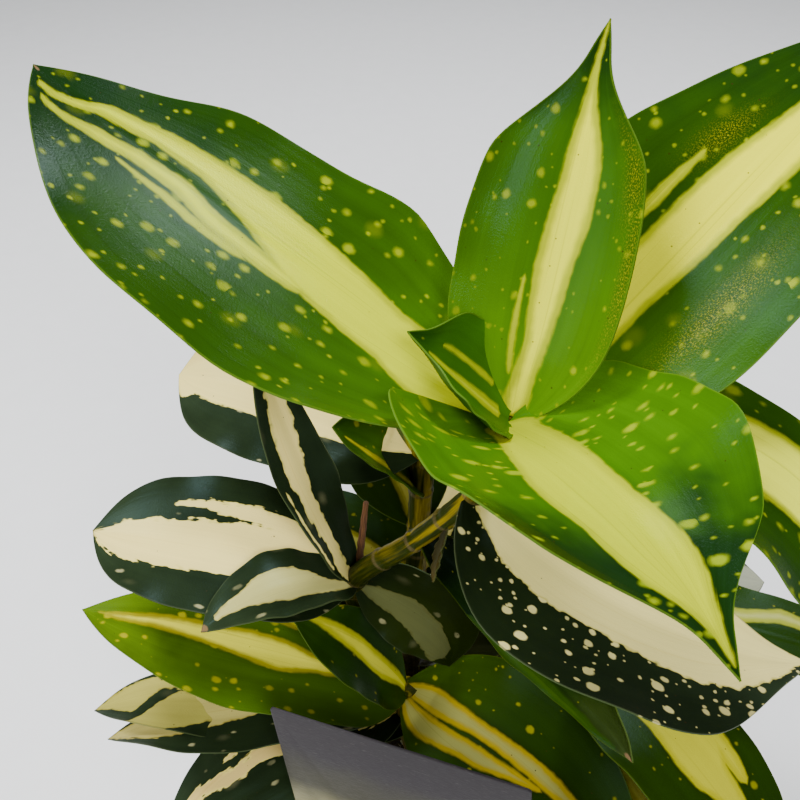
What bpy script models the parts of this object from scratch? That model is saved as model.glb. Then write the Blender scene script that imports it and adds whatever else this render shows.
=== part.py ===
"""Gold dust dracaena in a plain tapered pot, with a bare plant label on a stake.

Five leafy stems stand in holes in the soil. Every leaf is a waved blade on a bent midrib.
Sizes are in millimetres and degrees in the tables and become metres when a mesh is made.
The origin is the middle of the pot's underside, and the front of the plant looks along -Y.
"""
import math
import random

import bmesh
import bpy
from mathutils import Matrix, Vector

MM = 0.001
GAP = 0.3

# pot
POT_HEIGHT = 105.0
POT_FOOT_RADIUS = 43.0
POT_TOP_RADIUS = 57.0
POT_WALL = 1.6
POT_FLOOR = 2.0
RIM_REACH = 3.0
RIM_DEPTH = 12.0
DRAIN_RADIUS = 4.0
DRAIN_CIRCLE = 29.0
DRAIN_COUNT = 6
ROUND_SEGMENTS = 42

# soil
SOIL_TOP = 96.0
SOIL_CROWN = 3.0
HOLE_DEPTH = 26.0

# blades and canes
BLADE_THICKNESS = 0.8
CANE_SIDES_STEP = 2
PATH_STEPS = 3

# plant label
LABEL_CORNER = (-39.0, -35.0, 193.0)
LABEL_HEADING = -22.0
LABEL_LEAN = 5.0
LABEL_WIDTH = 81.0
LABEL_HEIGHT = 56.0
LABEL_THICKNESS = 0.8
STAKE_WIDTH = 12.0
STAKE_TIP = 64.0
STAKE_SHIFT = -22.0

# canes: points from the foot in the soil up to the growing tip, and the radius at each
HEAD_CANE = [((-4, 24, 76), 4.4), ((-4, 24, 100), 4.4), ((-4, 24, 106), 4.4), ((-12, 27, 150), 4.0),
             ((-15, 10, 197), 3.8), ((4, -4, 232), 3.2), ((20, -14, 262), 3.3), ((27, -16, 280), 4.2),
             ((28, -16, 291), 4.8)]
LOW_CANE = [((8, -6, 76), 4.2), ((8, -6, 100), 4.2), ((8, -6, 106), 4.2), ((4, -3, 128), 4.2),
            ((2, 0, 151), 4.6)]
BACK_CANE = [((4, 42, 76), 4.2), ((4, 42, 100), 4.2), ((4, 42, 106), 4.2), ((6, 44, 165), 4.0),
             ((8, 40, 230), 4.4)]
RIGHT_CANE = [((30, 26, 76), 4.2), ((30, 26, 100), 4.2), ((30, 26, 106), 4.2), ((46, 24, 145), 4.0),
              ((58, 14, 191), 4.4)]
FRONT_CANE = [((40, 4, 76), 4.2), ((40, 4, 100), 4.2), ((40, 4, 106), 4.2), ((62, 4, 142), 4.0),
              ((62, -5, 179), 4.4)]

# blades: the fields left out take the usual values of a blade
HEAD_BLADES = [
    dict(base=(26, -15, 289), azimuth=163.6, rise=33.3, length=146.7, width=79.4, droop=8.7,
         power=1.07, swing=-15.5, roll=-7.8, twist=11, lopsided=0.11, curl=8, cup=40, wave=1.3,
         waves=2.98, phase=0.14, widest=0.34, full=1.6, blunt=3.36, drip=0.14, neck=0.11, rows=13,
         columns=6),
    dict(base=(28, -15, 290), azimuth=67, rise=64, length=100, width=45, droop=20, power=1.2,
         curl=35, wave=1.0, waves=1.5, phase=0.0, widest=0.38, drip=0.6, rows=13, columns=6),
    dict(base=(30, -15, 286), azimuth=25.7, rise=39, length=149, width=71, droop=15.5, swing=19,
         roll=9.7, lopsided=0.1, curl=12, cup=7.4, wave=3.0, waves=1.15, phase=0.5, widest=0.45,
         full=3.4, blunt=1.84, neck=0.1, rows=13, columns=6),
    dict(base=(26, -18, 291), azimuth=-62, rise=25.8, length=90, width=77.9, droop=53.3,
         power=1.5, swing=-6.6, roll=-3.1, twist=-7, lopsided=-0.11, curl=24.6, cup=40,
         wave=2.7, waves=1.7, phase=0.13, widest=0.45, full=7.1, blunt=1.5, drip=0.6, neck=0.11,
         rows=13, columns=6),
    dict(base=(27, -16, 291), azimuth=180, rise=47, length=37, width=36, droop=0, roll=-10, curl=50,
         wave=0.5, waves=1.0, phase=0.0, full=4.0, drip=0.5),
    dict(base=(30, -16, 280), azimuth=-11, rise=32, length=121, width=50, droop=130, swing=-40,
         wave=2.0, rows=13, columns=6),
    dict(base=(20, -14, 262), azimuth=-52, rise=-14, length=104, width=54, droop=8, swing=65,
         lopsided=-0.25, wave=2.0, full=2.4, drip=0.4, rows=13, columns=6),
    dict(base=(-15, 10, 197), azimuth=-177, rise=76, length=96, width=20, droop=10, power=1.0,
         swing=-60, roll=-20, lopsided=0.15, curl=25),
    dict(base=(-15, 10, 197), azimuth=180, rise=23, length=89, width=50, droop=30, swing=-10,
         roll=-10, blunt=4.5, rows=12),
    dict(base=(-15, 10, 197), azimuth=-152, rise=37, length=58, width=27, droop=60, swing=10, wave=1.0),
    dict(base=(-15, 10, 199), azimuth=-26, rise=-10, length=58, width=30, droop=95, swing=36, roll=68,
         curl=10, wave=1.0),
    dict(base=(6, -5, 236), azimuth=-29, rise=-31, length=90, width=33, droop=0, swing=-16, roll=75,
         lopsided=0.45, curl=45, wave=1.0),
]
LOW_BLADES = [
    dict(base=(2, 0, 150), azimuth=-174, rise=27, length=117, width=48, droop=24, swing=-20, full=4.0,
         rows=12),
    dict(base=(2, 0, 150), azimuth=-157, rise=63, length=61, width=30, droop=26, swing=-25, roll=-22,
         curl=20, wave=1.0, waves=1.0),
    dict(base=(4, -3, 130), azimuth=-178, rise=25, length=124, width=34, droop=60, swing=-10),
    dict(base=(2, 0, 146), azimuth=-162, rise=11, length=116, width=32, droop=50, swing=-30,
         lopsided=-0.1, drip=0.3),
    dict(base=(2, 0, 138), azimuth=-144, rise=4, length=107, width=42, droop=55, swing=-26,
         lopsided=-0.45),
    dict(base=(2, 0, 150), azimuth=-37, rise=15, length=103, width=50, droop=30, swing=-20, roll=20,
         rows=12),
]
BACK_BLADES = [
    dict(base=(8, 40, 228), azimuth=163, rise=20, length=91, width=55, roll=-20, wave=2.0, blunt=5.0),
    dict(base=(7, 42, 208), azimuth=-152, rise=63, length=48, width=26, droop=30, swing=-20, roll=-20,
         curl=40, wave=0.5, waves=1.0, blunt=4.0),
    dict(base=(7, 42, 212), azimuth=-139, rise=78, length=43, width=20, droop=10, curl=30, wave=0.5,
         waves=1.0),
]
RIGHT_BLADES = [
    dict(base=(58, 14, 187), azimuth=-20, rise=9, length=114, width=32, droop=20),
    dict(base=(58, 14, 190), azimuth=1, rise=8, length=67, width=34, droop=20, blunt=3.5),
]
FRONT_BLADES = [
    dict(base=(62, -5, 178), azimuth=-50, rise=5, length=90, width=44, droop=40, swing=-10,
         lopsided=-0.1, rows=12),
]

# leaves placed by the rule: azimuth, height on the cane and rise, the rest drawn at random
BACK_RING = [(58, 228, 18), (92, 224, 24), (122, 220, 10), (104, 188, 8), (146, 160, 4), (72, 158, 6)]
RIGHT_RING = [(34, 172, 16), (72, 150, 8), (26, 126, 2)]
FRONT_RING = [(-70, 150, 10), (-38, 130, 0)]
HEAD_RING = [(160, 146, 6)]

USUAL = dict(droop=30, power=1.4, swing=0, roll=0, twist=0, lopsided=0, curl=15, cup=0, wave=1.5,
             waves=2.0, phase=0.3, widest=0.42, full=3.0, blunt=2.4, drip=0.0, neck=0.14, rows=10,
             columns=4)


def clear_scene():
    for item in list(bpy.data.objects):
        bpy.data.objects.remove(item, do_unlink=True)


def make_collection(name):
    found = bpy.data.collections.new(name)
    bpy.context.scene.collection.children.link(found)
    return found


def make_material(name, colour, roughness, metallic=0.0):
    made = bpy.data.materials.new(name)
    made.use_nodes = True
    shader = made.node_tree.nodes["Principled BSDF"]
    shader.inputs["Base Color"].default_value = (*colour, 1.0)
    shader.inputs["Roughness"].default_value = roughness
    shader.inputs["Metallic"].default_value = metallic
    return made


def object_from_mesh(name, built, collection):
    mesh = bpy.data.meshes.new(name)
    built.to_mesh(mesh)
    built.free()
    made = bpy.data.objects.new(name, mesh)
    collection.objects.link(made)
    return made


def evaluated_mesh(item):
    """The item's mesh with its modifiers in it, in place of the modifiers."""
    bpy.context.view_layer.update()
    graph = bpy.context.evaluated_depsgraph_get()
    mesh = bpy.data.meshes.new_from_object(item.evaluated_get(graph), depsgraph=graph)
    return mesh


def apply_modifiers(item):
    mesh = evaluated_mesh(item)
    item.modifiers.clear()
    item.data = mesh


def cutters_hidden(cutter):
    cutter.hide_render = True
    cutter.display_type = "WIRE"


# blades
def half_width(share, leaf):
    """Half the blade's width at a share of its length, as a share of the widest half."""
    widest = leaf["widest"]
    if share < widest:
        return leaf["neck"] + (1 - leaf["neck"]) * (1 - (1 - share / widest) ** leaf["full"])
    past = (share - widest) / (1 - widest)
    draw_in = min(max((past - 0.4) / 0.45, 0.0), 1.0)
    draw_in = draw_in * draw_in * (3 - 2 * draw_in)
    return (1 - past ** leaf["blunt"]) * (1 - leaf["drip"] * draw_in)


def heading(share, leaf):
    azimuth = math.radians(leaf["azimuth"] + leaf["swing"] * share)
    pitch = math.radians(leaf["rise"] - leaf["droop"] * share ** leaf["power"])
    flat = math.cos(pitch)
    return Vector((flat * math.cos(azimuth), flat * math.sin(azimuth), math.sin(pitch))), azimuth


def midrib(leaf, rows):
    """Points of the bent midrib, row by row."""
    fine = 20
    point = Vector(leaf["base"])
    points = [point.copy()]
    step = leaf["length"] / (rows * fine)
    for index in range(rows * fine):
        point = point + heading((index + 0.5) / (rows * fine), leaf)[0] * step
        if (index + 1) % fine == 0:
            points.append(point.copy())
    return points


def blade_mesh(leaf):
    """A flat grid, bent onto the midrib, cupped across and waved along both margins."""
    rows = leaf["rows"]
    columns = leaf["columns"]
    spine = midrib(leaf, rows)
    built = bmesh.new()
    bmesh.ops.create_grid(built, x_segments=columns, y_segments=rows, size=1.0)
    for vertex in built.verts:
        across = vertex.co.x
        row = round((vertex.co.y + 1) / 2 * rows)
        share = row / rows
        forward, azimuth = heading(share, leaf)
        level = Vector((-math.sin(azimuth), math.cos(azimuth), 0.0))
        upward = forward.cross(level)
        turn = math.radians(leaf["roll"] + leaf["twist"] * share)
        side = level * math.cos(turn) + upward * math.sin(turn)
        normal = upward * math.cos(turn) - level * math.sin(turn)
        relative = half_width(share, leaf)
        uneven = 1 + leaf["lopsided"] if across > 0 else 1 - leaf["lopsided"]
        half = leaf["width"] / 2 * relative * uneven
        bow = math.radians(leaf["curl"] + leaf["cup"] * (1 - share) ** 2)
        reach = half * math.sin(bow * across) / bow
        lift = half * (1 - math.cos(bow * across)) / bow
        fade = min(share / 0.15, 1.0) * min((1 - share) / 0.08, 1.0)
        beat = leaf["waves"] * share + leaf["phase"] + (0.35 if across > 0 else 0.0)
        lift += leaf["wave"] * fade * relative * abs(across) ** 2.2 * math.sin(2 * math.pi * beat)
        vertex.co = (spine[row] + side * reach + normal * lift) * MM
    bmesh.ops.remove_doubles(built, verts=built.verts[:], dist=0.00005)
    bmesh.ops.triangulate(built, faces=built.faces[:], quad_method="FIXED")
    return built


def add_blade(name, leaf, collection):
    full_leaf = {**USUAL, **leaf}
    made = object_from_mesh(name, blade_mesh(full_leaf), collection)
    thick = made.modifiers.new("thickness", "SOLIDIFY")
    thick.thickness = BLADE_THICKNESS * MM
    thick.offset = 0.0
    apply_modifiers(made)
    return made


def ring_blades(ring, cane, seed):
    """Leaves set round a cane by the rule, each with its own random length, width and bend."""
    draw = random.Random(seed)
    leaves = []
    for azimuth, height, rise in ring:
        leaves.append(dict(base=cane_at_height(cane, height), azimuth=azimuth, rise=rise,
                           length=draw.randint(84, 108), width=draw.randint(40, 50),
                           droop=draw.randint(30, 44), swing=draw.randint(-10, 10),
                           roll=draw.randint(-8, 8), phase=draw.randint(0, 9) / 10, rows=8))
    return leaves


# canes
def smooth_path(points):
    """The cane's points with rounded steps between them."""
    places = [Vector(place) for place, _ in points]
    radii = [radius for _, radius in points]
    path = []
    for index in range(len(places) - 1):
        before = places[max(index - 1, 0)]
        start = places[index]
        end = places[index + 1]
        after = places[min(index + 2, len(places) - 1)]
        for step in range(PATH_STEPS):
            share = step / PATH_STEPS
            leave = (end - before) / 2
            arrive = (after - start) / 2
            square = share * share
            cube = square * share
            place = (start * (2 * cube - 3 * square + 1) + leave * (cube - 2 * square + share)
                     + end * (3 * square - 2 * cube) + arrive * (cube - square))
            path.append((place, radii[index] + (radii[index + 1] - radii[index]) * share))
    path.append((places[-1], radii[-1]))
    return path


def cane_at_height(points, height):
    path = smooth_path(points)
    for (low, _), (high, _) in zip(path, path[1:]):
        if low.z <= height <= high.z:
            return low.lerp(high, (height - low.z) / (high.z - low.z))
    return path[-1][0].copy()


def add_tube(name, path, collection):
    curve = bpy.data.curves.new(name, "CURVE")
    curve.dimensions = "3D"
    curve.bevel_depth = MM
    curve.bevel_resolution = CANE_SIDES_STEP
    curve.use_fill_caps = True
    spline = curve.splines.new("POLY")
    spline.points.add(len(path) - 1)
    for point, (place, radius) in zip(spline.points, path):
        point.co = (*(place * MM), 1.0)
        point.radius = radius
    drawn = bpy.data.objects.new(name + "_line", curve)
    collection.objects.link(drawn)
    mesh = evaluated_mesh(drawn)
    bpy.data.objects.remove(drawn, do_unlink=True)
    built = bmesh.new()
    built.from_mesh(mesh)
    bmesh.ops.remove_doubles(built, verts=built.verts[:], dist=0.00001)
    bmesh.ops.recalc_face_normals(built, faces=built.faces[:])
    return object_from_mesh(name, built, collection)


def grow_stem(name, cane, leaves, material, home, twigs=()):
    """The cane with its leaves and twigs joined to it as one body."""
    stem = add_tube(name, smooth_path(cane), home)
    extras = make_collection(name + "_leaves")
    for index, leaf in enumerate(leaves):
        add_blade(f"{name}_leaf_{index}", leaf, extras)
    for index, twig in enumerate(twigs):
        add_tube(f"{name}_twig_{index}", [(Vector(place), radius) for place, radius in twig], extras)
    join = stem.modifiers.new("leaves", "BOOLEAN")
    join.operation = "UNION"
    join.operand_type = "COLLECTION"
    join.collection = extras
    join.solver = "MANIFOLD"
    apply_modifiers(stem)
    for item in list(extras.objects):
        bpy.data.objects.remove(item, do_unlink=True)
    bpy.data.collections.remove(extras)
    stem.data.materials.clear()
    stem.data.materials.append(material)
    for polygon in stem.data.polygons:
        polygon.material_index = 0
    return stem


# pot and soil
def turned(name, outline, segments, collection):
    """A solid of revolution about Z from an outline that starts and ends on the axis."""
    built = bmesh.new()
    verts = [built.verts.new((radius * MM, 0.0, height * MM)) for radius, height in outline]
    edges = [built.edges.new(pair) for pair in zip(verts, verts[1:])]
    bmesh.ops.spin(built, geom=verts + edges, axis=(0, 0, 1), cent=(0, 0, 0), steps=segments,
                   angle=2 * math.pi)
    bmesh.ops.remove_doubles(built, verts=built.verts[:], dist=0.00001)
    bmesh.ops.recalc_face_normals(built, faces=built.faces[:])
    return object_from_mesh(name, built, collection)


def cut(target, cutter, solver="EXACT"):
    removal = target.modifiers.new("cut", "BOOLEAN")
    removal.operation = "DIFFERENCE"
    removal.object = cutter
    removal.solver = solver
    apply_modifiers(target)


def inner_radius(height):
    slope = (POT_TOP_RADIUS - POT_FOOT_RADIUS) / POT_HEIGHT
    return POT_FOOT_RADIUS + slope * height - POT_WALL


def make_pot(home, cutters, material):
    slope = (POT_TOP_RADIUS - POT_FOOT_RADIUS) / POT_HEIGHT
    rim_low = POT_HEIGHT - RIM_DEPTH
    outline = [(0, 0), (POT_FOOT_RADIUS, 0), (POT_FOOT_RADIUS + slope * rim_low, rim_low),
               (POT_TOP_RADIUS + RIM_REACH, rim_low + 1.0),
               (POT_TOP_RADIUS + RIM_REACH, POT_HEIGHT - 1.0),
               (POT_TOP_RADIUS + RIM_REACH - 1.0, POT_HEIGHT),
               (inner_radius(POT_HEIGHT) + 0.8, POT_HEIGHT),
               (inner_radius(POT_HEIGHT), POT_HEIGHT - 1.0),
               (inner_radius(POT_FLOOR), POT_FLOOR), (0, POT_FLOOR)]
    pot = turned("pot", outline, ROUND_SEGMENTS, home)
    for index in range(DRAIN_COUNT):
        angle = 2 * math.pi * (index + 0.5) / DRAIN_COUNT
        built = bmesh.new()
        place = Matrix.Rotation(angle, 4, "Z") @ Matrix.Translation((DRAIN_CIRCLE * MM, 0, 0))
        bmesh.ops.create_cone(built, cap_ends=True, segments=16, radius1=DRAIN_RADIUS * MM,
                              radius2=DRAIN_RADIUS * MM, depth=4 * POT_FLOOR * MM, matrix=place)
        hole = object_from_mesh(f"drain_{index}", built, cutters)
        cutters_hidden(hole)
        cut(pot, hole)
    pot.data.materials.append(material)
    return pot


def make_soil(home, cutters, material, canes):
    low = POT_FLOOR + GAP
    outline = [(0, low), (inner_radius(low) - GAP, low), (inner_radius(SOIL_TOP) - GAP, SOIL_TOP),
               (inner_radius(SOIL_TOP) * 0.6, SOIL_TOP + SOIL_CROWN * 0.8), (0, SOIL_TOP + SOIL_CROWN)]
    soil = turned("soil", outline, ROUND_SEGMENTS, home)
    for index, cane in enumerate(canes):
        foot, radius = cane[0]
        built = bmesh.new()
        depth = HOLE_DEPTH + 10
        middle = Vector((foot[0], foot[1], foot[2] - GAP + depth / 2)) * MM
        bmesh.ops.create_cone(built, cap_ends=True, segments=16, radius1=(radius + 2 * GAP) * MM,
                              radius2=(radius + 2 * GAP) * MM, depth=depth * MM,
                              matrix=Matrix.Translation(middle))
        hole = object_from_mesh(f"stem_hole_{index}", built, cutters)
        cutters_hidden(hole)
        cut(soil, hole)
    slot = label_shape("label_slot", cutters, GAP)
    cutters_hidden(slot)
    cut(soil, slot)
    soil.data.materials.append(material)
    return soil


# plant label
def label_shape(name, collection, grow):
    """One flat plate: the card with a pointed stake under it, grown by the gap for the slot."""
    left = -grow
    right = LABEL_WIDTH + grow
    middle = LABEL_WIDTH / 2 + STAKE_SHIFT
    stake = STAKE_WIDTH / 2 + grow
    low = -LABEL_HEIGHT - grow
    end = low - STAKE_TIP
    outline = [(left, grow), (left, low), (middle - stake, low), (middle - stake, end + 10),
               (middle, end - grow), (middle + stake, end + 10), (middle + stake, low), (right, low),
               (right, grow)]
    built = bmesh.new()
    verts = [built.verts.new((x * MM, 0.0, z * MM)) for x, z in outline]
    face = built.faces.new(verts)
    depth = LABEL_THICKNESS + 2 * grow
    bmesh.ops.translate(built, verts=verts, vec=(0, -depth / 2 * MM, 0))
    pushed = bmesh.ops.extrude_face_region(built, geom=[face])
    moved = [item for item in pushed["geom"] if isinstance(item, bmesh.types.BMVert)]
    bmesh.ops.translate(built, verts=moved, vec=(0, depth * MM, 0))
    bmesh.ops.recalc_face_normals(built, faces=built.faces[:])
    place = (Matrix.Translation(Vector(LABEL_CORNER) * MM)
             @ Matrix.Rotation(math.radians(LABEL_HEADING), 4, "Z")
             @ Matrix.Rotation(math.radians(-LABEL_LEAN), 4, "Y"))
    bmesh.ops.transform(built, matrix=place, verts=built.verts[:])
    return object_from_mesh(name, built, collection)


def build():
    clear_scene()
    home = make_collection("gold_dust_dracaena")
    cutters = make_collection("cutters")
    leaf_green = make_material("leaf_green", (0.06, 0.20, 0.02), 0.35)
    pot_plastic = make_material("pot_plastic", (0.03, 0.03, 0.03), 0.55)
    soil_brown = make_material("soil_brown", (0.05, 0.03, 0.02), 0.95)
    label_grey = make_material("label_grey", (0.13, 0.11, 0.13), 0.4)
    make_pot(home, cutters, pot_plastic)
    canes = [HEAD_CANE, LOW_CANE, BACK_CANE, RIGHT_CANE, FRONT_CANE]
    make_soil(home, cutters, soil_brown, canes)
    twig = [((-14, 11, 197), 1.4), ((-11, 20, 224), 1.0)]
    grow_stem("head_stem", HEAD_CANE, HEAD_BLADES + ring_blades(HEAD_RING, HEAD_CANE, 3), leaf_green,
              home, [twig])
    grow_stem("low_stem", LOW_CANE, LOW_BLADES, leaf_green, home)
    grow_stem("back_stem", BACK_CANE, BACK_BLADES + ring_blades(BACK_RING, BACK_CANE, 7), leaf_green, home)
    grow_stem("right_stem", RIGHT_CANE, RIGHT_BLADES + ring_blades(RIGHT_RING, RIGHT_CANE, 9), leaf_green,
              home)
    grow_stem("front_stem", FRONT_CANE, FRONT_BLADES + ring_blades(FRONT_RING, FRONT_CANE, 11), leaf_green,
              home)
    label = label_shape("plant_label", home, 0.0)
    label.data.materials.append(label_grey)


build()
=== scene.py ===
"""A gold dust dracaena in its nursery pot: banded and specked blades on five thin canes."""

import math
import random

import bpy
import numpy as np
from mathutils import Matrix, Vector, noise


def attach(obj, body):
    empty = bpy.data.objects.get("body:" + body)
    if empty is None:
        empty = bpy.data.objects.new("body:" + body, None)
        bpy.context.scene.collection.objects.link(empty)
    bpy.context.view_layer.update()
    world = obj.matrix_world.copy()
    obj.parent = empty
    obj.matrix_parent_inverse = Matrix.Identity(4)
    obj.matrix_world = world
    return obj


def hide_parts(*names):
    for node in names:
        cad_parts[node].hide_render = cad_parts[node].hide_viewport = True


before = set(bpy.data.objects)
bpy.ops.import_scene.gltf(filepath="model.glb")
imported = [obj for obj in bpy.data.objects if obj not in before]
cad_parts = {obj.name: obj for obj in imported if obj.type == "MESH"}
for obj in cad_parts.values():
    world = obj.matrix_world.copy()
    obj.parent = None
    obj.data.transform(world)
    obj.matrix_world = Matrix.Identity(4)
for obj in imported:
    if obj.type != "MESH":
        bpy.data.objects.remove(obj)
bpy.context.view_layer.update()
bpy.ops.object.select_all(action="DESELECT")


# The pot
# A plain round nursery pot of charcoal polypropylene, moulded in one shot: thin tapered wall,
# a stiff band round the mouth, a shallow ring in the underside and six holes to let water out.
MM = 0.001
POT_HEIGHT = 105.0
POT_FOOT = 43.0
POT_MOUTH = 57.0
POT_WALL = 1.6
POT_FLOOR = 2.0
RIM_REACH = 3.0
RIM_LOW = 93.0
DRAIN_RADIUS = 4.0
DRAIN_CIRCLE = 29.0
DRAIN_COUNT = 6
DRILL_DEPTH = 12.0
POT_SIDES = 128


def tree_of(name):
    """A new finish with one shader: gives back the material, its node tree and the shader."""
    material = bpy.data.materials.new(name)
    material.use_nodes = True
    tree = material.node_tree
    return material, tree, tree.nodes["Principled BSDF"]


def put(tree, kind, inputs, out=0, **settings):
    """One node with its settings; an input that is a socket is wired, any other value is set."""
    made = tree.nodes.new("ShaderNode" + kind)
    for key, value in settings.items():
        setattr(made, key, value)
    for key, value in inputs.items():
        if isinstance(value, bpy.types.NodeSocket):
            tree.links.new(value, made.inputs[key])
        else:
            made.inputs[key].default_value = value
    return made.outputs[out]


def calc(operation, first, *others):
    """A sum that takes in one value after another, in the tree that the first belongs to."""
    for other in others or (0.0,):
        first = put(first.id_data, "Math", {0: first, 1: other}, operation=operation)
    return first


def vector(operation, first, second):
    """A sum on three numbers at once; SCALE takes one number for all three."""
    key = "Scale" if operation == "SCALE" else 1
    return put(first.id_data, "VectorMath", {0: first, key: second}, operation=operation)


def parts_of(three):
    """The three numbers of a vector, each as a socket."""
    return tuple(put(three.id_data, "SeparateXYZ", {0: three}).node.outputs)


def ease(value, low, high, to_low=0.0, to_high=1.0):
    """A smooth step from one value to another while the input goes from low to high."""
    return put(value.id_data, "MapRange", {0: value, 1: low, 2: high, 3: to_low, 4: to_high},
               interpolation_type="SMOOTHSTEP")


def mixed(share, first, second, how="MIX"):
    """Two colours, the second over the first by its share."""
    return put(share.id_data, "Mix", {0: share, 6: first, 7: second}, out=2,
               data_type="RGBA", blend_type=how)


def grain(place, stretch, detail=2.0, out=0):
    """Noise about one half, with so many features per unit along each axis of the place."""
    stretched = vector("MULTIPLY", place, stretch)
    return put(place.id_data, "TexNoise", {"Vector": stretched, "Scale": 1.0, "Detail": detail}, out=out)


def swing(value, size):
    """Noise about one half made a change of plus or minus half the size."""
    return calc("MULTIPLY", calc("SUBTRACT", value, 0.5), size)


def tone(red, green, blue):
    """A colour read as 0 to 255 on a screen, as the linear colour that a shader takes."""
    shares = [value / 255 for value in (red, green, blue)]
    linear = [v / 12.92 if v <= 0.04045 else ((v + 0.055) / 1.055) ** 2.4 for v in shares]
    return (*linear, 1.0)


def own_place(tree):
    return put(tree, "TexCoord", {}, out=3)


def coat(shader, colour, roughness, relief=None, shine=0.5):
    """What the shader shows: its colour, roughness, fine relief in millimetres and shine."""
    tree = shader.id_data
    tree.links.new(colour, shader.inputs["Base Color"])
    tree.links.new(roughness, shader.inputs["Roughness"])
    shader.inputs["Specular IOR Level"].default_value = shine
    if relief is not None:
        bump = put(tree, "Bump", {"Strength": 1.0, "Distance": MM, "Height": relief})
        tree.links.new(bump, shader.inputs["Normal"])


def faces_out():
    """The faces of the piece in edit mode are turned outward, and its making is over."""
    bpy.ops.mesh.select_all(action="SELECT")
    bpy.ops.mesh.normals_make_consistent(inside=False)
    bpy.ops.object.mode_set(mode="OBJECT")


def turned_piece(name, outline, sides):
    """A closed round piece: a disc is extruded ring by ring through the outline."""
    radius, height = outline[0]
    bpy.ops.mesh.primitive_circle_add(vertices=sides, radius=radius * MM, fill_type="NGON",
                                      location=(0, 0, height * MM))
    piece = bpy.context.object
    piece.name = piece.data.name = name
    bpy.ops.object.mode_set(mode="EDIT")
    for next_radius, next_height in outline[1:]:
        rise = (next_height - height) * MM
        bpy.ops.mesh.extrude_region_move(TRANSFORM_OT_translate={"value": (0, 0, rise)})
        share = next_radius / radius
        bpy.ops.transform.resize(value=(share, share, 1.0))
        radius, height = next_radius, next_height
    faces_out()
    bpy.ops.object.transform_apply(location=True, rotation=True, scale=True)
    return piece


def finish_modifier(piece, kind, **settings):
    """A modifier is added to the piece, set and applied."""
    bpy.context.view_layer.objects.active = piece
    modifier = piece.modifiers.new(kind.lower(), kind)
    for key, value in settings.items():
        setattr(modifier, key, value)
    bpy.ops.object.modifier_apply(modifier=modifier.name)


def smooth(piece, degrees):
    """Shaded smooth, but for edges sharper than an angle, and left unselected."""
    bpy.ops.object.select_all(action="DESELECT")
    piece.select_set(True)
    bpy.context.view_layer.objects.active = piece
    bpy.ops.object.shade_smooth_by_angle(angle=math.radians(degrees))
    bpy.ops.object.select_all(action="DESELECT")


def dress(piece, material, node):
    """The piece gets its finish, and stands for its node on the one body."""
    piece.data.materials.clear()
    piece.data.materials.append(material)
    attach(piece, "root")
    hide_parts(node)


def wall_radius(height):
    """The outer wall's radius at a height."""
    return POT_FOOT + (POT_MOUTH - POT_FOOT) * height / POT_HEIGHT


inner_top = wall_radius(POT_HEIGHT) - POT_WALL
rim_out = POT_MOUTH + RIM_REACH
pot_outline = [(20, 0), (36, 0), (36.4, 0.5), (37.6, 0.5), (38, 0), (42.2, 0), (POT_FOOT, 0.8)]
pot_outline += [(wall_radius(height), height) for height in (6, 30, 60, 85, RIM_LOW)]
pot_outline += [(rim_out - 0.5, RIM_LOW + 0.6), (rim_out, RIM_LOW + 1.4)]
pot_outline += [(rim_out - inward, POT_HEIGHT - down) for inward, down in
                ((0, 3.6), (0.35, 3.2), (0.35, 2.6), (0, 2.2), (0, 0.9), (0.3, 0.25), (1.0, 0))]
pot_outline += [(inner_top + 0.8, POT_HEIGHT), (inner_top + 0.2, POT_HEIGHT - 0.3)]
pot_outline += [(inner_top, POT_HEIGHT - 1.0)]
pot_outline += [(wall_radius(height) - POT_WALL, height) for height in (85, 60, 30, 6)]
pot_outline += [(wall_radius(POT_FLOOR) - POT_WALL - 0.6, POT_FLOOR), (20, POT_FLOOR)]
pot = turned_piece("nursery_pot", pot_outline, POT_SIDES)
for index in range(DRAIN_COUNT):
    angle = 2 * math.pi * (index + 0.5) / DRAIN_COUNT
    spot = (DRAIN_CIRCLE * MM * math.cos(angle), DRAIN_CIRCLE * MM * math.sin(angle), 0)
    bpy.ops.mesh.primitive_cylinder_add(vertices=32, radius=DRAIN_RADIUS * MM, depth=DRILL_DEPTH * MM,
                                        location=spot)
    drill = bpy.context.object
    finish_modifier(pot, "BOOLEAN", object=drill, operation="DIFFERENCE", solver="EXACT")
    bpy.data.objects.remove(drill)
smooth(pot, 28)

pot_plastic, tree, shader = tree_of("charcoal_plastic")
place = own_place(tree)
clouds = grain(place, (45, 45, 45), 4)
runs = grain(place, (260, 260, 14), 3)
pits = grain(place, (2200, 2200, 2200), 2)
_, _, height = parts_of(place)
near_rim = ease(height, 0.088, 0.105)
near_foot = ease(height, 0.022, 0.0)
splash = calc("MULTIPLY", calc("MAXIMUM", near_rim, near_foot), ease(clouds, 0.46, 0.62))
dust = calc("ADD", calc("MULTIPLY", splash, 0.5), ease(runs, 0.56, 0.74, 0.0, 0.22))
skin = mixed(ease(clouds, 0.35, 0.65), tone(33, 34, 36), tone(47, 48, 50))
skin = mixed(dust, skin, tone(112, 98, 80))
coat(shader, skin, ease(runs, 0.3, 0.7, 0.42, 0.62), calc("ADD", swing(pits, 0.1), swing(runs, 0.12)))
dress(pot, pot_plastic, "pot")


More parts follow.
